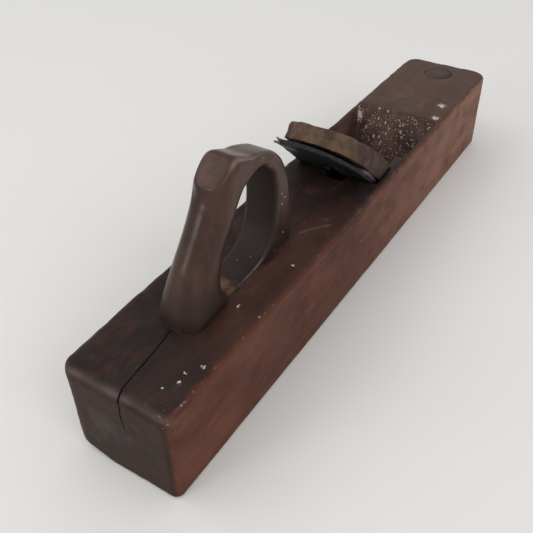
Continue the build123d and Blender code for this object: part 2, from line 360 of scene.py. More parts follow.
def top_wood(f, wood):
    """A dark waxed top, ruddy beside the handle, scuffed, and barer towards the toe."""
    top = f.two_tone(wood.blotch, (30, 23, 23), (50, 37, 34), 0.32, 0.68)
    ruddy = f.two_tone(wood.blotch, (52, 32, 28), (76, 49, 42), 0.32, 0.68)
    bare = f.two_tone(wood.mottle, (72, 52, 45), (90, 67, 57))
    top = f.mix(f.attribute("ruddy"), top, ruddy)
    top = f.mix(f.ramp(f.attribute("toe"), 0.5, 1.0), top, bare)
    top = f.mix(f.ramp(wood.grain, 0.5, 0.7, 0.0, 0.25), top, srgb(32, 24, 22))
    scuff = f.noise(210, (0.3, 1, 1), 6, 0.8)
    return f.mix(f.ramp(scuff, 0.56, 0.76, 0.0, 0.4), top, srgb(104, 84, 76))


def throat_wood(f, wood):
    """The paler, unwaxed wood inside the throat."""
    inner = f.two_tone(wood.mottle, (66, 47, 43), (96, 72, 66))
    return f.mix(f.ramp(wood.grain, 0.4, 0.65, 0.0, 0.5), inner, srgb(44, 32, 30))


def stock_paint(f, wood):
    """Where pale paint lies: drops and drips in the throat, stray spots, scuffed rims and daubs."""
    splash = f.attribute("splash")
    outside = f.math("SUBTRACT", 1.0, f.attribute("inside"))
    return f.most(
        f.scaled(specks(f, 560, 0.4, f.ramp(splash, 0.15, 0.5), 0.3), 0.7),
        f.scaled(specks(f, 850, 0.45, f.ramp(splash, 0.2, 0.6), 0.4), 0.7),
        f.scaled(specks(f, 420, 0.42, f.ramp(splash, 0.3, 0.8), 0.5, (1, 1, 0.1)), 0.65),
        specks(f, 95, 0.13, outside, 0.22),
        f.scaled(specks(f, 560, 0.45, f.ramp(f.attribute("worn"), 0.1, 0.9), 0.65), 0.6),
        f.ragged("daub", wood.fine, 0.4, 0.45, 0.75, 0.85),
    )


def stock_finish():
    """Old oiled beech: dark handled top, redder sides, a throat with painted shade deep down by the bed, a
    painted highlight on the heel's top rim, and splashes of pale paint.
    """
    f = Finish("stock_wood")
    wood = stock_textures(f)
    rim = f.math("ADD", f.attribute("top"), f.ramp(wood.mottle, 0.25, 0.75, -0.3, 0.3))
    colour = f.mix(f.ramp(rim, 0.0, 0.5, 0.0, 0.75), side_wood(f, wood), srgb(72, 40, 33))
    colour = f.mix(f.ramp(rim, 0.4, 1.05), colour, top_wood(f, wood))
    colour = f.mix(f.attribute("end"), colour, f.two_tone(wood.mottle, (38, 25, 20), (58, 39, 32)))
    polish_and_highlight = f.attribute("polish_and_highlight")
    # Painted highlight: a lighter greyish band along the heel's top rim. The same mask lowers the roughness
    # there, for the rim's real polish.
    colour = f.mix(f.scaled(polish_and_highlight, 0.7), colour, srgb(96, 80, 77))
    colour = f.mix(f.attribute("inside"), colour, throat_wood(f, wood))
    colour = f.mix(f.ragged("worn", wood.mottle, 0.3, 0.45, 0.9, 0.4), colour, srgb(122, 98, 86))
    # Dark in the crack, with painted shade round the handle's foot and deep in the throat by the bed.
    colour = f.mix(f.ragged("crack_and_shade", wood.fine, 0.2, 0.3, 0.7), colour, srgb(18, 14, 14))
    paint_here = stock_paint(f, wood)
    pale_paint = f.mix(wood.mottle, srgb(196, 184, 164), srgb(226, 216, 198))
    colour = f.mix(paint_here, colour, pale_paint)
    colour = f.mix(f.scaled(f.attribute("scratch"), 0.2), colour, srgb(160, 146, 134))
    dust = f.ramp(f.noise(30, (1, 1, 1), 5, 0.7), 0.55, 0.8, 0.0, 0.12)
    colour = f.mix(dust, colour, srgb(150, 140, 132))
    rough = f.ramp(wood.mottle, 0.3, 0.7, 0.44, 0.62)
    rough = f.math("SUBTRACT", rough, f.scaled(polish_and_highlight, 0.12))
    rough = f.math("ADD", rough, f.scaled(paint_here, 0.15))
    height = f.math("ADD", f.scaled(wood.grain, 0.6), f.scaled(wood.fibre, 0.35))
    height = f.math("SUBTRACT", height, f.ramp(wood.flecks, 0.0, 0.2, 0.3, 0.0))
    normal = f.bump(height, 0.5 * MM)
    normal = f.bump(wood.fine, 0.1 * MM, normal)
    normal = f.bump(paint_here, 0.4 * MM, normal)
    return f.finish(colour, rough, normal, specular=0.14)


def handle_finish():
    """Dark beech with a hand polish: satin, dull and darker with painted shade low down and in the finger
    opening, with a painted highlight along the crest's right arris and a pale sawn facet on the horn.
    """
    f = Finish("handle_wood")
    grain = f.noise(110, (0.5, 1, 0.08), 6, 0.6, 0.4)
    fibre = f.noise(500, (0.4, 1, 0.04), 3, 0.5)
    blotch = f.noise(28, (1, 1, 0.5), 5, 0.6)
    mottle = f.noise(90, (1, 1, 0.6), 5, 0.65)
    shade = f.attribute("shade")
    base = f.two_tone(blotch, (50, 32, 27), (74, 49, 41))
    base = f.mix(f.ramp(grain, 0.45, 0.65, 0.0, 0.4), base, srgb(34, 22, 20))
    base = f.mix(f.ramp(fibre, 0.55, 0.8, 0.0, 0.12), base, srgb(92, 66, 57))
    base = f.mix(shade, base, srgb(34, 25, 24))
    worn = f.ragged("worn", mottle, 0.25, 0.35, 0.7)
    colour = f.mix(worn, base, f.two_tone(mottle, (62, 43, 37), (86, 62, 54)))
    # Painted highlight along the crest's right arris.
    colour = f.mix(f.scaled(f.attribute("arris_highlight"), 0.6), colour, srgb(134, 113, 105))
    colour = f.mix(f.ragged("rub", mottle, 0.25, 0.35, 0.8), colour, srgb(104, 72, 52))
    drops = f.most(specks(f, 120, 0.16, 1.0, 0.22), specks(f, 330, 0.26, f.attribute("splash"), 0.2))
    colour = f.mix(f.scaled(drops, 0.7), colour, srgb(206, 196, 178))
    rough = f.ramp(mottle, 0.3, 0.7, 0.25, 0.33)
    rough = f.math("ADD", rough, f.scaled(worn, 0.15))
    rough = f.math("ADD", rough, f.scaled(shade, 0.35))
    height = f.math("ADD", f.scaled(grain, 0.5), f.scaled(fibre, 0.2))
    normal = f.bump(height, 0.22 * MM)
    normal = f.bump(drops, 0.3 * MM, normal)
    return f.finish(colour, rough, normal, specular=0.25)


def wedge_finish():
    """Wedge wood: end grain burnished and dented by the hammer, with dark and tan patches, and painted shade
    on its rounded left and right sides.
    """
    f = Finish("wedge_wood")
    blotch = f.noise(55, (1, 1, 1), 5, 0.65)
    mottle = f.noise(150, (1, 1, 1), 5, 0.65)
    grain = f.noise(260, (0.5, 1, 0.5), 5, 0.6, 0.3)
    fine = f.noise(900, (1, 1, 1), 3, 0.6)
    side = f.two_tone(blotch, (60, 43, 38), (84, 60, 52))
    tan = f.two_tone(mottle, (72, 55, 43), (103, 80, 62), 0.3, 0.7)
    colour = f.mix(f.ragged("head", blotch, 0.3, 0.4, 0.75), side, tan)
    # Painted shade on the wedge's rounded left and right sides, and a dark patch on its end.
    colour = f.mix(f.ragged("dark", mottle, 0.35, 0.35, 0.75, 0.8), colour, srgb(56, 42, 38))
    colour = f.mix(f.ramp(grain, 0.5, 0.7, 0.0, 0.45), colour, srgb(54, 40, 34))
    height = f.math("ADD", f.scaled(grain, 0.6), f.scaled(fine, 0.3))
    normal = f.bump(height, 0.5 * MM)
    return f.finish(colour, f.ramp(mottle, 0.3, 0.7, 0.5, 0.7), normal, specular=0.2)


def button_finish():
    """End grain of a hard plug, bruised by the hammer."""
    f = Finish("button_wood")
    pores, _ = f.cells(900)
    mottle = f.noise(170, (1, 1, 1), 5, 0.65)
    rays = f.noise(300, (1, 0.1, 1), 4, 0.6)
    colour = f.two_tone(mottle, (60, 45, 40), (84, 64, 57))
    colour = f.mix(f.ramp(rays, 0.45, 0.65, 0.0, 0.5), colour, srgb(40, 29, 26))
    colour = f.mix(f.ramp(pores, 0.0, 0.25, 0.5, 0.0), colour, srgb(40, 28, 26))
    # Painted shade on the dished button's right side.
    colour = f.mix(f.attribute("rim"), colour, srgb(28, 21, 20))
    normal = f.bump(f.math("SUBTRACT", rays, f.ramp(pores, 0.0, 0.25, 0.6, 0.0)), 0.4 * MM)
    return f.finish(colour, f.ramp(mottle, 0.3, 0.7, 0.5, 0.7), normal, specular=0.3)


def steel_finish(name, dark, light, rust_amount):
    """Old forged steel: dark skin with rust blooms, pits and rubbed bright edges."""
    f = Finish(name)
    bloom = f.noise(70, (1, 1, 1), 6, 0.7)
    mottle = f.noise(240, (1, 1, 1), 5, 0.65)
    pits, _ = f.cells(900)
    scratch = f.noise(900, (1, 0.08, 1), 3, 0.5)
    rust = f.ramp(bloom, 0.62 - rust_amount, 0.8 - rust_amount)
    bright = f.ragged("bright", mottle, 0.25, 0.3, 0.8)
    colour = f.two_tone(mottle, dark, light)
    colour = f.mix(rust, colour, f.mix(mottle, srgb(60, 38, 28), srgb(40, 27, 22)))
    colour = f.mix(bright, colour, srgb(112, 104, 98))
    rough = f.math("ADD", f.ramp(bloom, 0.3, 0.7, 0.5, 0.68), f.scaled(rust, 0.15))
    metal = f.math("ADD", 0.15, f.scaled(bright, 0.4))
    height = f.math("ADD", f.scaled(mottle, 0.5), f.scaled(scratch, 0.2))
    height = f.math("SUBTRACT", height, f.ramp(pits, 0.0, 0.2, 0.5, 0.0))
    return f.finish(colour, rough, f.bump(height, 0.3 * MM), specular=0.2, metallic=metal)


def brass_finish():
    """Tarnished brass."""
    f = Finish("nut_brass")
    mottle = f.noise(260, (1, 1, 1), 5, 0.65)
    rings = f.noise(1200, (1, 0.1, 1), 3, 0.5)
    colour = f.two_tone(mottle, (150, 116, 62), (84, 66, 42), 0.35, 0.7)
    rough = f.ramp(mottle, 0.3, 0.7, 0.3, 0.5)
    return f.finish(colour, rough, f.bump(rings, 0.1 * MM), specular=0.5, metallic=0.9)


def floor_finish():
    """Plain pale table."""
    f = Finish("pale_floor")
    cloud = f.noise(5, (1, 1, 1), 3, 0.5)
    colour = f.mix(cloud, srgb(230, 229, 227), srgb(233, 232, 230))
    return f.finish(colour, 0.75, f.bump(f.noise(300), 0.05 * MM), specular=0.2)


# ---------------------------------------------------------------- the stock

RAIL_HALF, RAIL_DEPTH = 15 * MM, 22 * MM
FAR = 1.0

# Radii of the stock's upright corners in millimetres, right and left.
CORNERS_AT_HEEL = (6.0, 12.5)
CORNERS_AT_TOE = (14.0, 13.0)

# The drying crack, seen from above, from the back of the handle to the heel, and then down the end.
CRACK_ALONG = np.array([
    (HANDLE_BACK + 2 * MM, 1 * MM), (HANDLE_BACK - 9 * MM, -1 * MM), (HANDLE_BACK - 22 * MM, -2.5 * MM),
    (HANDLE_BACK - 38 * MM, -4 * MM), (-HALF_LENGTH, -6 * MM),
])
CRACK_DOWN = np.array([
    (-6 * MM, TOP), (-7 * MM, TOP - 9 * MM), (-6.2 * MM, TOP - 16 * MM), (-7.5 * MM, TOP - 27 * MM),
])

# Paint spots on the stock's top, with their sizes, and a light scratch ahead of the handle.
PAINT_SPOTS = [
    ((161 * MM, -29 * MM), 6.5 * MM), ((136 * MM, -33 * MM), 6 * MM),
    ((-157 * MM, -22 * MM), 2.6 * MM), ((-105 * MM, -31 * MM), 2.4 * MM),
    ((-209 * MM, -34 * MM), 2.6 * MM), ((-225.5 * MM, -29 * MM), 2.4 * MM),
    ((-218 * MM, -28 * MM), 2 * MM), ((-158 * MM, -39 * MM), 2.4 * MM),
]
SCRATCH = np.array([(-71.5 * MM, -16.5 * MM), (-63.7 * MM, -21 * MM), (-52.6 * MM, -30 * MM)])


def near_crack(co):
    """Distance to the crack, over the top and the end of the heel."""
    on_top = np.where(co[:, 2] > TOP - 6 * MM, distance_to(co[:, :2], CRACK_ALONG, False), FAR)
    on_end = np.where(co[:, 0] < -HALF_LENGTH + 6 * MM, distance_to(co[:, 1:], CRACK_DOWN, False), FAR)
    return np.minimum(on_top, on_end)


def refine_crack(piece):
    """Smaller faces along the crack, so that it can be cut into the mesh."""
    for reach in (3.2 * MM, 1.6 * MM):
        bm = bmesh.new()
        bm.from_mesh(piece.data)
        gap = near_crack(np.array([v.co for v in bm.verts]))
        edges = [e for e in bm.edges if gap[e.verts[0].index] < reach and gap[e.verts[1].index] < reach]
        bmesh.ops.subdivide_edges(bm, edges=edges, cuts=1, use_grid_fill=True)
        bm.to_mesh(piece.data)
        bm.free()


def dents(co, no, seed, count, box, size, depth):
    """Shallow knocks at random places in a box, longer along x than they are wide."""
    rng = np.random.default_rng(seed)
    push = np.zeros(len(co))
    for _ in range(count):
        centre = rng.uniform(*box)
        radius = rng.uniform(*size)
        push += spot(co * (0.5, 1, 1), centre * (0.5, 1, 1), radius) ** 1.5 * rng.uniform(*depth)
    return co - no * push[:, None]


def in_throat(co):
    """1 inside the throat and the grooves, 0 on the outside."""
    x, y, z = co.T
    inside = (np.abs(y) < HALF_WIDTH - 2.2 * MM) & (z > 0.8 * MM) & (z < TOP - 1.0 * MM)
    inside &= (x > BED_TOP_X - 8 * MM) & (x < THROAT_FRONT + 9 * MM)
    return inside.astype(float)


def fill_mortise(mesh):
    """The rail of the handle is glued in, so the stock's skin closes over the mortise."""
    bm = bmesh.new()
    bm.from_mesh(mesh)
    low = Vector((HANDLE_LOW[0] - 0.8 * MM, -RAIL_HALF, TOP - RAIL_DEPTH))
    high = Vector((HANDLE_HIGH[0] + 0.8 * MM, RAIL_HALF, TOP))
    block = bmesh.ops.create_cube(bm, size=1.0)["verts"]
    bmesh.ops.scale(bm, vec=high - low, verts=block)
    bmesh.ops.translate(bm, vec=(low + high) / 2, verts=block)
    bm.to_mesh(mesh)
    bm.free()


def corner_radius(co):
    """How round the stock's nearest upright corner is worn, at each point's height."""
    heel = np.where(co[:, 1] < 0, *CORNERS_AT_HEEL)
    toe = np.where(co[:, 1] < 0, *CORNERS_AT_TOE)
    return (np.where(co[:, 0] < 0, heel, toe) + 0.9 * field(co * (0.2, 0.2, 1), 14 * MM, 4)) * MM


def plan_edge(co):
    """How deep each point is inside the stock's rounded outline, seen from above, and which way is out."""
    radius = corner_radius(co)
    gap = np.array([HALF_LENGTH, HALF_WIDTH]) - np.abs(co[:, :2])
    turn = radius[:, None] - gap
    corner = (turn > 0).all(axis=1)
    reach = np.maximum(np.hypot(turn[:, 0], turn[:, 1]), 1e-9)
    at_end = gap[:, 0] < gap[:, 1]
    depth = np.where(corner, radius - reach, gap.min(axis=1))
    out = np.where(corner[:, None], turn / reach[:, None], np.c_[at_end, ~at_end])
    return depth, out * np.where(co[:, :2] < 0, -1.0, 1.0)


def round_rim(co, height, up, radius):
    """Wears the rim round the stock's top or sole to that radius at each point."""
    depth, out = plan_edge(co)
    in_d = radius - depth
    in_z = radius - up * (height - co[:, 2])
    reach = np.hypot(in_d, in_z)
    hit = (in_d > 0) & (in_z > 0) & (reach > radius)
    scale = (radius / np.maximum(reach, 1e-9))[hit]
    co[hit, :2] -= out[hit] * (radius[hit] - in_d[hit] * scale - depth[hit])[:, None]
    co[hit, 2] = height - up * (radius[hit] - in_z[hit] * scale)


def round_block(co):
    """Rounds the stock's upright corners, then its top and bottom rims. The radii are in millimetres."""
    depth, out = plan_edge(co)
    co[:, :2] += out * np.minimum(depth, 0)[:, None]
    wander = field(co * (1, 0.2, 0.2), 22 * MM, 1) + 0.6 * field(co * (1, 0.2, 0.2), 7 * MM, 2)
    along = 4.6 + 1.0 * wander + 1.8 * step(-co[:, 0], 150 * MM, 250 * MM)
    across = np.where(co[:, 0] < 0, 7.5, 6.0) + 1.2 * field(co * (0.2, 1, 1), 11 * MM, 3)
    at_end = out[:, 0] ** 2
    round_rim(co, TOP, 1, np.maximum(along + (across - along) * at_end, 2.4) * MM)
    foot = np.maximum(2.0 + 1.0 * field(co, 16 * MM, 5), 0.8)
    knocked = 8 * step(spot(co, (-HALF_LENGTH, HALF_WIDTH, 0), 34 * MM), 0.0, 0.9)
    round_rim(co, 0.0, -1, (foot + knocked) * MM)


def make_stock():
    """The block: worn rims and corners, knocks, a rippled surface, a notch in the heel and the crack."""
    mesh = frame["nodes"]["stock"].data.copy()
    fill_mortise(mesh)
    piece = remesh(link("stock_worn", mesh), voxel=1.35 * MM, smooth=3)
    refine_crack(piece)
    co, no = points(piece), normals(piece)
    round_block(co)
    box = np.array(STOCK_LOW), np.array(STOCK_HIGH)
    co = dents(co, no, seed=6, count=240, box=box, size=(1.5 * MM, 6 * MM), depth=(0.2 * MM, 0.7 * MM))
    ripple = 0.16 * field(co * (0.25, 1, 1), 9 * MM, 7) + 0.1 * field(co * (0.3, 1, 1), 3 * MM, 8)
    co -= no * ((0.22 + ripple) * MM * (1 - in_throat(co)))[:, None]
    notch = spot(co * (1, 1, 0.5), (-HALF_LENGTH, HALF_WIDTH, TOP * 0.5 - 14 * MM), 7 * MM)
    co -= no * (notch * 1.6 * MM)[:, None]
    gap = near_crack(co)
    width = 0.45 * MM * (1 + 0.4 * field(co, 8 * MM, 9))
    co -= no * (1.7 * MM * np.clip(1 - gap / width, 0, 1))[:, None]
    co = np.clip(co, *box)
    move_to(piece, co)
    paint_wood(piece, co)
    paint_wear(piece, co, gap)
    paint_splashes(piece, co)
    return piece


def paint_wood(piece, co):
    """Where the stock's dark top, its ends, its paler toe and the inside of its throat are."""
    edge = HALF_WIDTH - np.abs(co[:, 1])
    wander = (1.6 * field(co, 16 * MM, 11) + 0.9 * field(co, 5 * MM, 14)) * MM
    paint(piece, "top", step(edge + (co[:, 2] - TOP) + wander, -4.6 * MM, 5.2 * MM))
    paint(piece, "end", step(np.abs(co[:, 0]), HALF_LENGTH - 2.5 * MM, HALF_LENGTH - 0.8 * MM))
    paint(piece, "toe", step(co[:, 0], -140 * MM, 220 * MM))
    paint(piece, "inside", in_throat(co))
    beside_handle = (-44 * MM, -36 * MM, TOP)
    paint(piece, "ruddy", step(spot(co * (0.4, 1, 1), beside_handle, 44 * MM), 0.0, 0.5))


def paint_wear(piece, co, gap):
    """Where the stock is rubbed, where its crack is dark, and where painted shade (round the handle's foot
    and deep in the throat) and a painted highlight (along the heel's top rim) lie. The gap is each point's
    distance to the crack.
    """
    height, edge = co[:, 2] - TOP, HALF_WIDTH - np.abs(co[:, 1])
    near_top = step(height, -5 * MM, -1 * MM)
    past_heel_rim = co[:, 0] + HALF_LENGTH + height
    # A painted highlight along the middle of the heel's rounded top rim, where the rim is also glossier.
    heel_rim_highlight = ridge(past_heel_rim, 0, 3.2 * MM) * step(height, -12 * MM, -6 * MM)
    paint(piece, "polish_and_highlight", heel_rim_highlight * (0.7 + 0.5 * field(co, 9 * MM, 15)))
    corner = spot(co, (-HALF_LENGTH, -HALF_WIDTH, TOP), 30 * MM)
    long_edge = step(-edge, -3.6 * MM, -1.6 * MM) * step(height, -3.4 * MM, -1.6 * MM)
    throat_rim = step(-np.abs(co[:, 0] - THROAT_FRONT), -3 * MM, -0.5 * MM) * near_top
    paint(piece, "worn", 0.5 * corner + 0.35 * long_edge + 0.3 * throat_rim)
    # Painted shade round the handle's foot on the top, and deep in the throat on the bed side under the iron.
    # The crack itself is dark.
    handle_line = np.array([(HANDLE_BACK + 8 * MM, 0), (HANDLE_HIGH[0], 0)])
    around_handle = step(-distance_to(co[:, :2], handle_line, False), -24 * MM, -13 * MM) * near_top
    in_crack = step(-gap, -0.8 * MM, -0.3 * MM)
    throat_shade = in_throat(co) * step(-co[:, 0], -75 * MM, -30 * MM) * step(-height, 0, 25 * MM)
    shade_round_handle = 0.5 * around_handle * (0.6 + 0.6 * field(co, 12 * MM, 12))
    paint(piece, "crack_and_shade", np.maximum(np.maximum(shade_round_handle, in_crack), 0.8 * throat_shade))


def paint_splashes(piece, co):
    """Where pale paint spattered the throat's front, where it was daubed on the top, and the scratch."""
    breast = in_throat(co) * step(co[:, 0], 95 * MM, 118 * MM)
    round_throat = spot(co, (115 * MM, 0, TOP), 60 * MM)
    spatter = breast * (0.55 + 0.6 * field(co * (1, 1, 0.4), 11 * MM, 13))
    paint(piece, "splash", spatter + 0.12 * round_throat)
    drip_at = np.array([125 * MM, 35 * MM, TOP - 10 * MM])
    daub = 1.1 * spot(co * (1, 1, 0.22), drip_at * (1, 1, 0.22), 5 * MM)
    for place, radius in PAINT_SPOTS:
        daub = np.maximum(daub, 1.15 * spot(co, (*place, TOP), radius))
    paint(piece, "daub", daub)
    near_top = step(co[:, 2], TOP - 5 * MM, TOP - 1 * MM)
    paint(piece, "scratch", step(-distance_to(co[:, :2], SCRATCH, False), -1.2 * MM, -0.2 * MM) * near_top)


# ---------------------------------------------------------------- the handle

# Side view of the handle, in millimetres forward of its back and above the stock.
OUTLINE = [
    (0.5, 0), (2.5, 11), (12.5, 32), (28.5, 54), (36, 66), (40.5, 74), (44, 80.5), (51.5, 88.2), (60, 91.4),
    (67.5, 88.4), (75, 84.6), (84, 82.4), (92, 79.6), (101, 75), (111, 65.5), (118.5, 50), (121, 28),
    (121, 0), (121, -6), (60, -6), (0.5, -6),
]
OPENING = [
    (42, 4), (39.5, 16), (46.5, 32), (61, 54), (73, 65.5), (87, 68.5), (96.5, 61), (99.5, 48), (98.5, 30),
    (94, 15), (84, 5.5), (68, 1.5), (52, 1.2),
]
BOARD_HALF = 19 * MM
FACET_AT = (51.4, 86.2)
FACET_NORMAL = np.array([-0.63, 0.777])
HORN_AT = (50, 85)


def sawn_board():
    """The handle's board: the outline with its finger opening, before any rounding."""
    data = bpy.data.curves.new("handle_board", "CURVE")
    data.dimensions = "2D"
    data.fill_mode = "BOTH"
    data.extrude = BOARD_HALF
    for line in (loop_through(OUTLINE), loop_through(OPENING)):
        spline = data.splines.new("POLY")
        spline.points.add(len(line) - 1)
        for point, (u, v) in zip(spline.points, line):
            point.co = (u * MM, v * MM, 0, 1)
        spline.use_cyclic_u = True
    board = bpy.data.objects.new("handle_board", data)
    bpy.context.collection.objects.link(board)
    bpy.context.view_layer.update()
    graph = bpy.context.evaluated_depsgraph_get()
    mesh = bpy.data.meshes.new_from_object(board.evaluated_get(graph))
    bpy.data.objects.remove(board)
    # The board's x, y and z become forward, up and sideways.
    mesh.transform(Matrix(((1, 0, 0, 0), (0, 0, -1, 0), (0, 1, 0, 0), (0, 0, 0, 1))))
    piece = link("handle_worn", mesh)
    weld = piece.modifiers.new("weld", "WELD")
    weld.merge_threshold = 0.01 * MM
    return evaluated(piece)


def half_thickness(uv, out, inner, left):
    """Half the handle's thickness in millimetres at each point of its side view.

    out and inner are the point's distances to the outline and to the finger opening. The rear
    limb is rounded all the way over, for the hand. The rest keeps flat cheeks with eased edges,
    which are softer on the left, at the front of the crest and at the horn.
    """
    u, v = uv.T
    rear = step(-(u - 0.62 * np.maximum(v, 0)), -54, -38) * step(-v, -84, -66)
    horn = spot(uv, HORN_AT, 22) ** 0.7
    foot = np.clip((36 - v) / 36, 0, 1) * rear
    half = 13.2 + 5.0 * foot ** 1.2 + 0.6 * horn - 0.5 * step(u, 80, 110)
    soft = np.where(left, 6.2, 3.6) + 3.0 * step(u, 92, 112) + 6.0 * horn
    crisp = 3.6

    def edge(distance, ease, grip_drop, grip_deep):
        drop = (1 - rear) * ease + rear * grip_drop * half
        deep = (1 - rear) * ease + rear * grip_deep
        t = 1 - np.clip(distance / deep, 0, 1)
        return half - drop + drop * np.sqrt(np.clip(1 - t * t, 0, 1))

    return np.minimum(edge(out, soft, 0.93, 14.5), edge(inner, crisp, 0.85, 12.5))


def past_facet(uv):
    """How far each point of the side view stands past the plane of the horn's sawn facet."""
    return (uv - FACET_AT) @ FACET_NORMAL


def make_handle():
    """The handle: swelled grip, eased edges, the horn with its facet, collar and crease, and hand wear."""
    outline, opening = loop_through(OUTLINE), loop_through(OPENING)
    piece = remesh(sawn_board(), voxel=1.0 * MM)
    co = points(piece) / MM
    uv = co[:, [0, 2]]
    over_stock = np.c_[uv[:, 0], np.maximum(uv[:, 1], 0)]
    to_outline, to_opening = distance_to(over_stock, outline), distance_to(over_stock, opening)
    limit = half_thickness(over_stock, to_outline, to_opening, co[:, 1] > 0)
    co[:, 1] = np.sign(co[:, 1]) * np.minimum(np.abs(co[:, 1]), limit)
    # The horn's end is a flat, slightly crowned facet.
    flatten = 0.9 * np.maximum(past_facet(uv), 0) * step(-uv[:, 0], -66, -58)
    co[:, [0, 2]] -= flatten[:, None] * FACET_NORMAL
    move_to(piece, co * MM)
    remesh(piece, voxel=0.8 * MM, smooth=7)
    co, no = points(piece), normals(piece)
    uv = co[:, [0, 2]] / MM
    proud = past_facet(uv)
    wobble = 0.35 * field(co, 17 * MM, 21) + 0.12 * field(co, 6 * MM, 22)
    collar = ridge(proud, -1.2, 1.0) * step(-uv[:, 0], -60, -50)
    crease = ridge(proud, -5.0, 1.8) * step(-uv[:, 0], -48, -42)
    co += no * ((wobble - 0.1 + 0.6 * collar - 0.6 * crease) * MM)[:, None]
    paint_handle(piece, uv, no, proud, distance_to(uv, opening))
    co += (HANDLE_BACK, 0, TOP)
    move_to(piece, np.clip(co, HANDLE_LOW, HANDLE_HIGH))
    return piece


def paint_handle(piece, uv, no, proud, inner):
    """Where the handle is pale, rubbed and splashed, and where highlight and shade are painted, from its side
    view and its skin's directions.
    """
    u, v = uv.T
    in_opening = step(-inner, -4.5, -1.0)
    paint(piece, "worn", 0.75 * step(proud, -1.4, -0.2) * step(-u, -62, -56))
    # A painted highlight along the arris to the right of the crest and horn.
    right_of_crest = ridge(no[:, 1], -0.7, 0.14) * step(no[:, 2], 0.4, 0.6)
    paint(piece, "arris_highlight", right_of_crest * step(u, 50, 58) * step(-u, -88, -76))
    paint(piece, "rub", 0.9 * spot(uv, (47, 4), 13) * in_opening)
    paint(piece, "shade", np.maximum(0.8 * in_opening * step(u, 46, 62), 0.75 * step(-v, -38, -3)))
    paint(piece, "splash", step(u, 55, 110))


# ---------------------------------------------------------------- irons, wedge and button

def bed_frame(co):
    """How far each point lies up the bed and out of it."""
    rel = co - BED_ORIGIN
    return rel @ BED_AXIS, rel @ OUT_AXIS


def on_bed(up, left, out=0.0):
    """A point that far up the bed from the sole, to the left and out of the bed."""
    return BED_ORIGIN + BED_AXIS * up + OUT_AXIS * out + np.array([0, left, 0])


def make_wedge():
    """The wedge, with its rim rounded and its end crowned and bruised by the hammer."""
    piece = dense_copy("wedge", "wedge_hammered", voxel=0.75 * MM, smooth=4)
    co, no = points(piece), normals(piece)
    up, out = bed_frame(co)
    head = step(no @ BED_AXIS, 0.2, 0.8) * step(up, 85 * MM, 110 * MM)
    rim = step(up, 108 * MM, 120 * MM)
    high = step(out, 13 * MM, 23 * MM) * rim
    co -= BED_AXIS * (high * 2.2 * MM * step(out, 15 * MM, 22 * MM))[:, None]
    co -= OUT_AXIS * (high * 0.8 * MM)[:, None]
    co += no * (rim * (0.5 * field(co, 9 * MM, 31) + 0.25 * field(co, 3.5 * MM, 32) - 0.3) * MM)[:, None]
    box = np.array(WEDGE_LOW) + (0, 0, 50 * MM), np.array(WEDGE_HIGH)
    co = dents(co, no, seed=33, count=60, box=box, size=(2 * MM, 5 * MM), depth=(0.3 * MM, 0.9 * MM))
    move_to(piece, np.clip(co, WEDGE_LOW, WEDGE_HIGH))
    paint(piece, "head", head)
    # Painted shade on the rounded left and right sides, and one real dark patch on the end.
    left = step(co[:, 1], 24 * MM, 30 * MM)
    right = step(-co[:, 1], 22 * MM, 31 * MM)
    patch = spot(co, on_bed(148 * MM, -4 * MM, 16 * MM), 9 * MM)
    paint(piece, "dark", np.maximum(np.maximum(0.8 * left, 0.7 * right), 1.2 * patch))
    return piece


def make_iron():
    """The cutting iron, thicker and ragged at its mushroomed end, with a bright patch and a bright edge."""
    piece = dense_copy("cutting_iron", "cutting_iron_forged", voxel=0.6 * MM, smooth=2)
    co, no = points(piece), normals(piece)
    up, out = bed_frame(co)
    head = step(up, 96 * MM, 112 * MM)
    end = head * step(no @ BED_AXIS, 0.1, 0.7)
    burr = head * step(up, 118 * MM, 146 * MM) * (0.6 + 0.8 * field(co, 5 * MM, 41))
    co -= OUT_AXIS * (np.clip(burr, 0, 1) * 0.5 * MM * step(-out, -1.6 * MM, 0.2 * MM))[:, None]
    co -= BED_AXIS * (end * (0.4 + 0.2 * field(co, 6 * MM, 42)) * MM)[:, None]
    co += no * (head * 0.14 * MM * field(co, 3 * MM, 43))[:, None]
    move_to(piece, co)
    patch = spot(co, on_bed(142 * MM, 26 * MM), 9 * MM)
    cutting_edge = step(-up, -4 * MM, 0.0)
    paint(piece, "bright", np.maximum(np.maximum(0.08 * end, 1.4 * patch), cutting_edge))
    return piece


BURR_ROOT = on_bed(147.5 * MM, IRON_HIGH[1] - 3.0 * MM)
BURR_LENGTH = 6.5 * MM
BURR_ROWS = 9
BURR_SIDES = 10


def burr_ring(bm, spread, rise, t):
    """One ragged ring of a prong of the burr, at a share t of its length."""
    centre = BURR_ROOT + np.array([0, BURR_LENGTH * t, 0])
    centre = centre + OUT_AXIS * (0.4 * MM + spread + rise * t * t)
    centre = centre + BED_AXIS * (1.5 * MM * math.sin(2.2 * t) - 1.05 * spread * t)
    half_width, thick = 4.0 * MM * (1 - 0.7 * t), 1.4 * MM * (1 - 0.5 * t)
    ring = []
    for a in range(BURR_SIDES):
        angle = math.tau * a / BURR_SIDES
        ragged = 1 + 0.18 * math.sin(5 * angle + 9 * t)
        across = BED_AXIS * (half_width * ragged * math.cos(angle))
        ring.append(bm.verts.new(centre + across + OUT_AXIS * (thick * math.sin(angle))))
    return ring


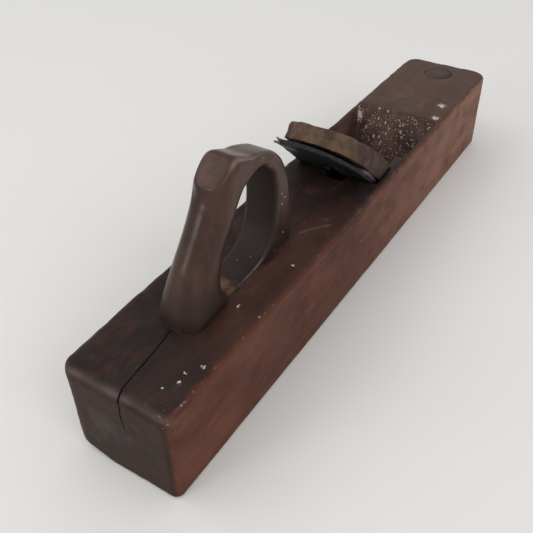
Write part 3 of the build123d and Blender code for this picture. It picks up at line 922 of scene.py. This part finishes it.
def make_burr():
    """Two prongs of steel turned over at the left corner of the iron's end."""
    bm = bmesh.new()
    for spread, rise in ((0.0, 0.0), (2.2 * MM, 1.6 * MM)):
        rows = [burr_ring(bm, spread, rise, k / (BURR_ROWS - 1)) for k in range(BURR_ROWS)]
        for low, high in zip(rows, rows[1:]):
            for a in range(BURR_SIDES):
                b = (a + 1) % BURR_SIDES
                bm.faces.new((low[a], low[b], high[b], high[a]))
        bm.faces.new(rows[0][::-1])
        bm.faces.new(rows[-1])
    bmesh.ops.recalc_face_normals(bm, faces=bm.faces)
    mesh = bpy.data.meshes.new("iron_burr")
    bm.to_mesh(mesh)
    bm.free()
    piece = link("iron_burr", mesh)
    round_off = piece.modifiers.new("round", "SUBSURF")
    round_off.levels = 2
    evaluated(piece)
    co = points(piece)
    co += normals(piece) * (0.2 * MM * field(co, 1.6 * MM, 45))[:, None]
    move_to(piece, co)
    piece.data.shade_smooth()
    paint(piece, "bright", np.full(len(co), 0.75))
    return piece


def make_button():
    """The strike button: bruised, worn down at its rim, with painted shade along its right side."""
    piece = dense_copy("strike_button", "strike_button_bruised", voxel=0.5 * MM, smooth=3)
    co = points(piece)
    centre = (np.array(BUTTON_LOW) + np.array(BUTTON_HIGH)) / 2
    radius = 12.7 * MM
    away = np.hypot(co[:, 0] - centre[0], co[:, 1] - centre[1])
    upper = step(co[:, 2], TOP - 1 * MM, TOP + 0.4 * MM)
    co[:, 2] -= upper * (0.85 + 0.2 * field(co, 4 * MM, 51) + 0.1 * field(co, 1.5 * MM, 52)) * MM
    co[:, 2] -= upper * step(away, radius - 3.2 * MM, radius) * 0.7 * MM
    move_to(piece, np.clip(co, BUTTON_LOW, BUTTON_HIGH))
    # Painted shade on the right side of the dished button.
    shaded_side = step(centre[1] - co[:, 1], -6 * MM, 9 * MM)
    paint(piece, "rim", 0.6 * shaded_side * step(away, 3 * MM, radius))
    return piece


# ---------------------------------------------------------------- stage, light, camera

FLOOR_GAP = 0.3 * MM
WORLD_COLOUR, WORLD_STRENGTH = (1.0, 0.995, 0.985, 1), 0.72

# Name, place, target, size across and power of each light.
LIGHTS = [
    ("key", (-0.7, 1.3, 1.9), (0, 0, 0), 1.4, 7),
    ("fill", (-0.8, -1.9, 1.5), (0, 0, 0), 1.6, 13),
    ("window", (-1.8, 0.7, 0.85), (-0.1, 0, 0.08), 0.6, 5),
]

# The photograph's camera: where it stands, which way it looks and which way is up in its picture.
SENSOR_WIDTH, FOCAL_LENGTH = 36, 47.3
CAMERA_PLACE = Vector((-0.4140, -0.2150, 0.3684))
CAMERA_LOOK = Vector((0.64298, 0.42717, -0.63569))
CAMERA_UP = Vector((0.54456, 0.32864, 0.77165))


def make_stage():
    """A table just under the sole."""
    bm = bmesh.new()
    bmesh.ops.create_grid(bm, x_segments=8, y_segments=8, size=4.0)
    mesh = bpy.data.meshes.new("floor")
    bm.to_mesh(mesh)
    bm.free()
    floor = link("floor", mesh)
    floor.location.z = STOCK_LOW[2] - FLOOR_GAP
    floor.data.materials.append(floor_finish())


def area_light(name, place, target, size, power):
    data = bpy.data.lights.new(name, "AREA")
    data.shape = "DISK"
    data.size = size
    data.energy = power
    lamp = bpy.data.objects.new(name, data)
    lamp.location = place
    lamp.rotation_euler = (Vector(target) - Vector(place)).to_track_quat("-Z", "Y").to_euler()
    bpy.context.collection.objects.link(lamp)


def make_light():
    """Soft daylight: a pale sky, a large lamp on each side and a small one past the heel."""
    world = bpy.data.worlds.new("studio")
    bpy.context.scene.world = world
    world.use_nodes = True
    sky = world.node_tree.nodes["Background"]
    sky.inputs["Color"].default_value = WORLD_COLOUR
    sky.inputs["Strength"].default_value = WORLD_STRENGTH
    for light in LIGHTS:
        area_light(*light)
    bpy.context.scene.view_settings.view_transform = "Standard"


def make_camera():
    data = bpy.data.cameras.new("camera")
    data.sensor_width = SENSOR_WIDTH
    data.lens = FOCAL_LENGTH
    camera = bpy.data.objects.new("camera", data)
    back = -CAMERA_LOOK.normalized()
    right = CAMERA_UP.cross(back).normalized()
    up = back.cross(right).normalized()
    turn = Matrix((right, up, back)).transposed().to_4x4()
    camera.matrix_world = Matrix.Translation(CAMERA_PLACE) @ turn
    bpy.context.collection.objects.link(camera)
    bpy.context.scene.camera = camera


# ---------------------------------------------------------------- the object

def coat(piece, material):
    """Gives a piece one material, in place of any that it has."""
    piece.data.materials.clear()
    piece.data.materials.append(material)


def dress(piece, material, body, node):
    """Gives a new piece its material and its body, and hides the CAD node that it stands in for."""
    coat(piece, material)
    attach(piece, body)
    if node:
        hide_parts(node)


iron_steel = steel_finish("iron_steel", (30, 30, 32), (44, 43, 45), -0.04)
dress(make_stock(), stock_finish(), "root", "stock")
dress(make_handle(), handle_finish(), "root", "handle")
dress(make_button(), button_finish(), "root", "strike_button")
dress(make_wedge(), wedge_finish(), "wedge", "wedge")
dress(make_iron(), iron_steel, "iron", "cutting_iron")
dress(make_burr(), iron_steel, "iron", None)

# These hardly show, so they keep their CAD meshes.
coat(frame["nodes"]["cap_iron"], steel_finish("cap_steel", (66, 62, 62), (98, 92, 90), 0.08))
coat(frame["nodes"]["cap_iron_nut"], brass_finish())
coat(frame["nodes"]["cap_screw"], steel_finish("screw_steel", (60, 57, 57), (92, 87, 85), 0.1))

make_stage()
make_light()
make_camera()
